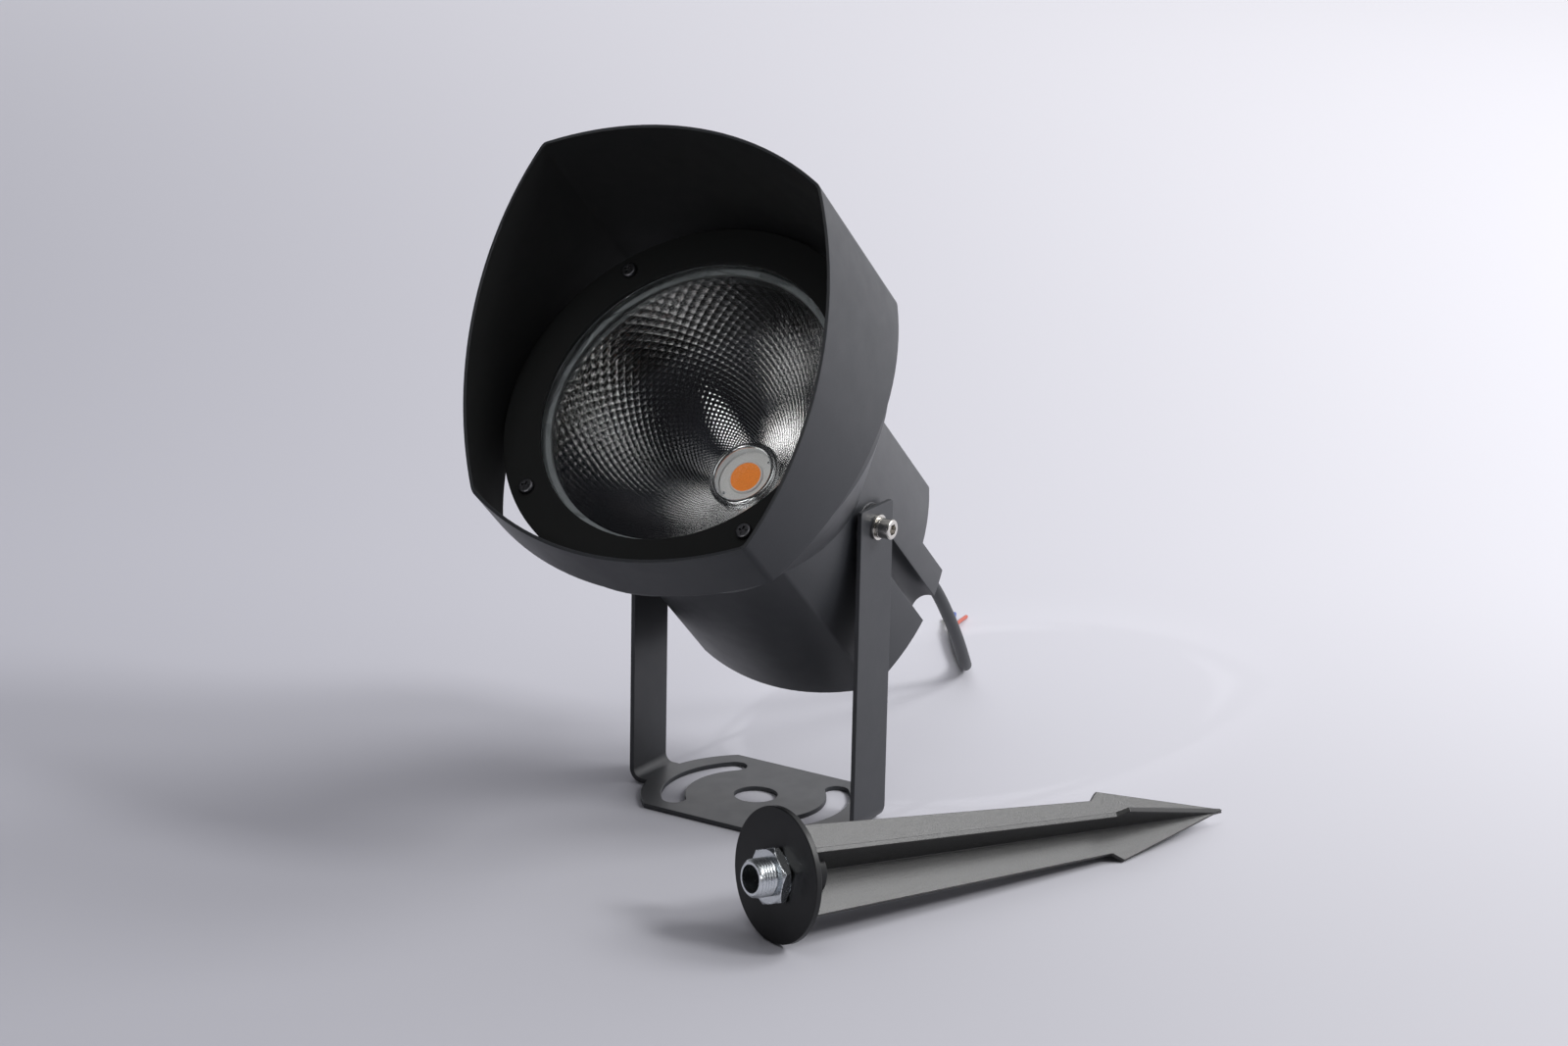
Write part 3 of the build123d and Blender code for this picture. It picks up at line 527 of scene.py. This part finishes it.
def makeNipple(look):
    mount = next(m for m in record["mounts"] if m["name"] == "spike_thread")
    inward = -Vector(mount["axis"]).normalized()
    tip = Vector(mount["pos_m"]) - inward * look["free"] / 2 * mm
    over = inward.cross(Vector((0, 0, 1))).normalized()
    pitch = look["pitch"]
    turns = int(look["length"] / pitch) + look["spareTurns"]
    root = look["outer"] - look["depth"]
    bm = bmesh.new()
    crest = [(root, -pitch), (look["outer"], -pitch / 2), (root, 0)]
    verts = [bm.verts.new(tip + (over * r + inward * (place - pitch)) * mm) for r, place in crest]
    edges = [bm.edges.new(pair) for pair in zip(verts, verts[1:])]
    bmesh.ops.spin(bm, geom=verts + edges, cent=tip, axis=inward, angle=2 * math.pi * turns,
                   steps=look["steps"] * turns, dvec=inward * pitch * mm / look["steps"])
    bmesh.ops.remove_doubles(bm, verts=bm.verts, dist=weldGap)
    for place, outward in ((0, -1), (look["length"], 1)):
        bmesh.ops.bisect_plane(bm, geom=bm.verts[:] + bm.edges[:] + bm.faces[:], dist=look["cutSlack"],
                               plane_co=tip + inward * place * mm, plane_no=inward * outward,
                               clear_outer=True)

    def setRadius(vert, radius):
        along = (vert.co - tip).dot(inward)
        foot = tip + inward * along
        vert.co = foot + (vert.co - foot).normalized() * radius * mm

    for vert in bm.verts:
        along = (vert.co - tip).dot(inward)
        out = (vert.co - tip - inward * along).length / mm
        engaged = along / mm > look["free"]
        most = look["outer"] - look["depth"] / 2 if engaged else root - look["lead"] / 2 + along / mm
        setRadius(vert, min(out, most))
    rims = [e for e in bm.edges if e.is_boundary]
    made = bmesh.ops.extrude_edge_only(bm, edges=rims)["geom"]
    for vert in [g for g in made if isinstance(g, bmesh.types.BMVert)]:
        setRadius(vert, look["bore"])
    bmesh.ops.bridge_loops(bm, edges=[e for e in bm.edges if e.is_boundary])
    bmesh.ops.recalc_face_normals(bm, faces=bm.faces)
    mesh = meshFrom(bm, "spikeNipple")
    smoothMesh(mesh, look["crease"])
    standFor(addPiece("spikeNipple", mesh, finishes["zinc"]), "spike_nipple")
    print("nipple:", turns, "turns of thread")


makeNipple(nipple)

# The holder's collar is turned to a full round lip
collar = {"top": 27.0, "slack": 0.05, "lip": 1.45, "steps": 6, "edge": 0.3}


def isCollarTop(edge):
    least = (collar["top"] - collar["slack"]) * mm
    return all((v.co - lampCentre).dot(beam) > least for v in edge.verts)


roundedEdges = {  # piece, the width of its edges and the crease angle where it is not the usual one
    "bracket": ("strapBracket", 0.35),
    "hood": ("glareHood", 0.35),
    "housing": ("castHousing", 0.5),
    "front_bezel": ("frontBezel", 0.4),
    "glass_gasket": ("glassGasket", 0.3),
    "front_glass": ("frontGlass", 0.4),
    "cob_plate": ("cobPlate", 0.2),
    "rear_cover": ("rearCover", 0.4),
    "ground_spike": ("groundSpike", 0.35),
    "spike_flange": ("spikeFlange", 0.5),
    "spike_lock_nut": ("spikeLockNut", 0.25, 20),
    "pivot_bolts": ("pivotBolts", 0.2),
    "pivot_washers": ("pivotWashers", 0.2),
    "spring_washers": ("springWashers", 0.15),
    "friction_washers": ("frictionWashers", 0.2),
    "bezel_screws": ("bezelScrews", 0.12),
    "rear_screws": ("rearScrews", 0.12),
    "cable_gland": ("cableGland", 0.25),
    "gland_cap": ("glandCap", 0.25),
}
rounded = {node: roundedCopy(node, *look) for node, look in roundedEdges.items()}
collarLip = {"picks": isCollarTop, "width": collar["lip"], "steps": collar["steps"]}
rounded["cob_holder"] = roundedCopy("cob_holder", "cobHolder", collar["edge"], lip=collarLip)
print("rounded pieces:", len(rounded))

# The hood's inside gets a dull black coat: a black glare coat, made darker still as painted shade of the hood's
# deep inside
hoodInside = {"facing": -0.5}  # an inside face's normal, along the way out from the light, is below this


def blackenInside(piece, finish, look):
    piece.data.materials.append(finish)
    for face in piece.data.polygons:
        arm = face.center - lampCentre
        out = (arm - beam * arm.dot(beam)).normalized()
        if face.normal.dot(out) < look["facing"]:
            face.material_index = 1


blackCoatAndPaintedShade = powderCoat("blackCoatWithPaintedShade", "#0d0e0e", "#141515", 0.7, 1.0, 12, 0.04, 1.35)
blackenInside(rounded["hood"], blackCoatAndPaintedShade, hoodInside)
# The bezel gets the same dull black coat: painted shade, standing for the hood's paint in the hood's shadow
rounded["front_bezel"].data.materials[0] = blackCoatAndPaintedShade
# The flange is pressed from flat sheet, so its coat lies smoother than on the cast spike
flangeCoat = powderCoat("satinCoatOnFlange", "#0f1011", "#161718", 0.4, 1.2, 9, 0.03, 1.42)
rounded["spike_flange"].data.materials[0] = flangeCoat

# The solids that no piece stands for show as they are, in their finish
for node, solid in nodes.items():
    if not solid.hide_render:
        solid.data.materials.clear()
        solid.data.materials.append(finishes[slotOf[node]])

# Floor and light: a pale sweep under soft boxes at the right, behind and above.
# Floor and air change along a way: the way, where the change starts and ends, the values there.
studio = {
    "floorNear": "#bdbdc6",
    "floorFar": "#f6f5fa",
    "floorSize": 12,
    # The floor's tone, dimming and glow paint light onto it: paler towards the back right, where the soft boxes
    # fall, and darker nearest the camera
    "tone": ((0.8, 0.6, 0), -0.9, 1.6, 0, 1),  # from the near colour to the far one
    "dim": ((-0.53, 0.85, 0), -0.3, 0.45, 0.82, 1),  # darker nearest the camera
    "glow": ((0.1, 0.99, 0), -0.1, 2.2, 0, 0.3),  # own paleness, for camera, gloss and clear glass only
    "softboxes": {  # way from the hinge, distance, size, power
        "key": ((0.77, 0.15, 0.62), 3.0, 0.6, 34),
        "back": ((0.57, 0.49, 0.66), 3.0, 1.0, 30),
        "top": ((0.08, -0.46, 0.88), 2.6, 1.2, 8),
    },
    "cards": {  # bright cards that only gloss and metal show
        "left": ((-0.20, -0.88, 0.42), 3.0, 0.7, 11),
        "front": ((0.21, -0.95, 0.24), 3.0, 0.5, 3.5),
    },
    "snoot": {
        "way": (-0.08, -0.74, 0.67),
        "distance": 2.5,
        "cone": 5.6,  # degrees
        "blend": 1,
        "soft": 0.05,
        "power": 115,
    },
    "frontAir": "#222327",
    "backAir": "#f4f4f8",
    "air": (Vector((0.3, 0.9, 0.32)).normalized(), -0.25, 0.8, 0, 1),  # from the front to the back one
    "airStrength": 1.1,
}


def riseAlong(tree, place, way, start, end, low, high):
    along = addNode(tree, "ShaderNodeVectorMath", {"operation": "DOT_PRODUCT"}, {0: place})
    along.inputs[1].default_value = way
    rise = addNode(tree, "ShaderNodeMapRange",
                   {"interpolation_type": "SMOOTHSTEP", "From Min": start, "From Max": end,
                    "To Min": low, "To Max": high}, {"Value": along.outputs["Value"]})
    return rise.outputs["Result"]


# Matt painted board without gloss; paler towards the back and darker nearest the camera, which is painted light
def makeFloor(look):
    bm = bmesh.new()
    bmesh.ops.create_grid(bm, x_segments=1, y_segments=1, size=look["floorSize"] / 2)
    mesh = meshFrom(bm, "floor")
    material, tree, shader, place = startMaterial(
        "matteSweep", {"Roughness": 0.9, "Specular IOR Level": 0.1,
                       "Emission Color": srgb(look["floorFar"])})
    tone = addNode(tree, "ShaderNodeMix",
                   {"data_type": "RGBA", "A": srgb(look["floorNear"]), "B": srgb(look["floorFar"])},
                   {"Factor": riseAlong(tree, place, *look["tone"])})
    dimmed = addNode(tree, "ShaderNodeVectorMath", {"operation": "SCALE"},
                     {"Vector": tone.outputs["Result"], "Scale": riseAlong(tree, place, *look["dim"])})
    tree.links.new(dimmed.outputs["Vector"], shader.inputs["Base Color"])
    ray = addNode(tree, "ShaderNodeLightPath")
    seen = addNode(tree, "ShaderNodeMath", {"operation": "MAXIMUM"},
                   {0: ray.outputs["Is Camera Ray"], 1: ray.outputs["Is Glossy Ray"]})
    through = addNode(tree, "ShaderNodeMath", {"operation": "MAXIMUM"},
                      {0: seen.outputs["Value"], 1: ray.outputs["Is Transmission Ray"]})
    glow = addNode(tree, "ShaderNodeMath", {"operation": "MULTIPLY"},
                   {0: through.outputs["Value"], 1: riseAlong(tree, place, *look["glow"])})
    tree.links.new(glow.outputs["Value"], shader.inputs["Emission Strength"])
    addPiece("floor", mesh, material)


def aimLamp(lamp, target, way, distance):
    holder = bpy.data.objects.new(lamp.name, lamp)
    way = Vector(way).normalized()
    holder.location = target + way * distance
    holder.rotation_euler = way.to_track_quat("Z", "Y").to_euler()
    bpy.context.scene.collection.objects.link(holder)
    return holder


def addSoftbox(name, way, distance, size, power):
    lamp = bpy.data.lights.new(name, "AREA")
    lamp.shape = "SQUARE"
    lamp.size = size
    lamp.energy = power
    return aimLamp(lamp, hinge, way, distance)


# A narrow soft spot down the bowl, which lights the emitter and nothing beside the lamp
def addSnoot(look):
    lamp = bpy.data.lights.new("snoot", "SPOT")
    lamp.spot_size = math.radians(look["cone"])
    lamp.spot_blend = look["blend"]
    lamp.shadow_soft_size = look["soft"]
    lamp.energy = look["power"]
    aimLamp(lamp, lampCentre, look["way"], look["distance"]).visible_glossy = False


makeFloor(studio)
addSnoot(studio["snoot"])
for name, box in studio["softboxes"].items():
    addSoftbox(name + "Softbox", *box)
for name, card in studio["cards"].items():
    addSoftbox(name + "Card", *card).visible_diffuse = False


# The room: pale behind the object, dark on the camera's side
def makeRoom(look):
    world = bpy.data.worlds.new("studioAir")
    world.use_nodes = True
    tree = world.node_tree
    way = addNode(tree, "ShaderNodeTexCoord").outputs["Generated"]
    tone = addNode(tree, "ShaderNodeMix",
                   {"data_type": "RGBA", "A": srgb(look["frontAir"]), "B": srgb(look["backAir"])},
                   {"Factor": riseAlong(tree, way, *look["air"])})
    air = tree.nodes["Background"]
    air.inputs["Strength"].default_value = look["airStrength"]
    tree.links.new(tone.outputs["Result"], air.inputs["Color"])
    bpy.context.scene.world = world


makeRoom(studio)
bpy.context.scene.view_settings.view_transform = "Standard"
print("studio lit")
